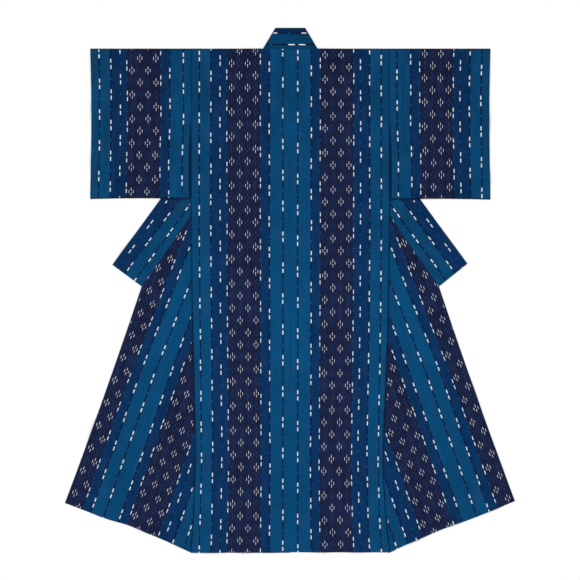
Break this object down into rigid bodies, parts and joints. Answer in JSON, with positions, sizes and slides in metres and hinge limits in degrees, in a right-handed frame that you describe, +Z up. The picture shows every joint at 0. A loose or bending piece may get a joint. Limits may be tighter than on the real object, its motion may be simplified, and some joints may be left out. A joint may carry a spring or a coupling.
{
  "type": "kimono laid flat",
  "caption": "Full-length kimono of striped indigo cloth laid flat with its back side up, sleeves spread, and both fronts and the open collar turned outward beneath the back.",
  "frame": {"origin": "centre of the bounding box in plan, on the surface that the garment lies on", "axes": "+Y from the hem up to the collar, +X to the wearer's right (the back side is up), +Z up out of the surface"},
  "size_m": [1.4709, 1.7162, 0.0038],
  "materials": {
    "back_cloth": "matt hand-woven silk",
    "front_cloth": "matt hand-woven silk",
    "okumi_cloth": "matt hand-woven silk",
    "sleeve_cloth": "matt hand-woven silk",
    "collar_cloth": "matt hand-woven silk"
  },
  "bodies": {
    "root": {"back_left": "back_cloth", "back_right": "back_cloth", "front_left": "front_cloth", "front_right": "front_cloth", "okumi_left": "okumi_cloth", "okumi_right": "okumi_cloth", "sleeve_left": "sleeve_cloth", "sleeve_right": "sleeve_cloth", "collar": "collar_cloth"}
  },
  "joints": []
}
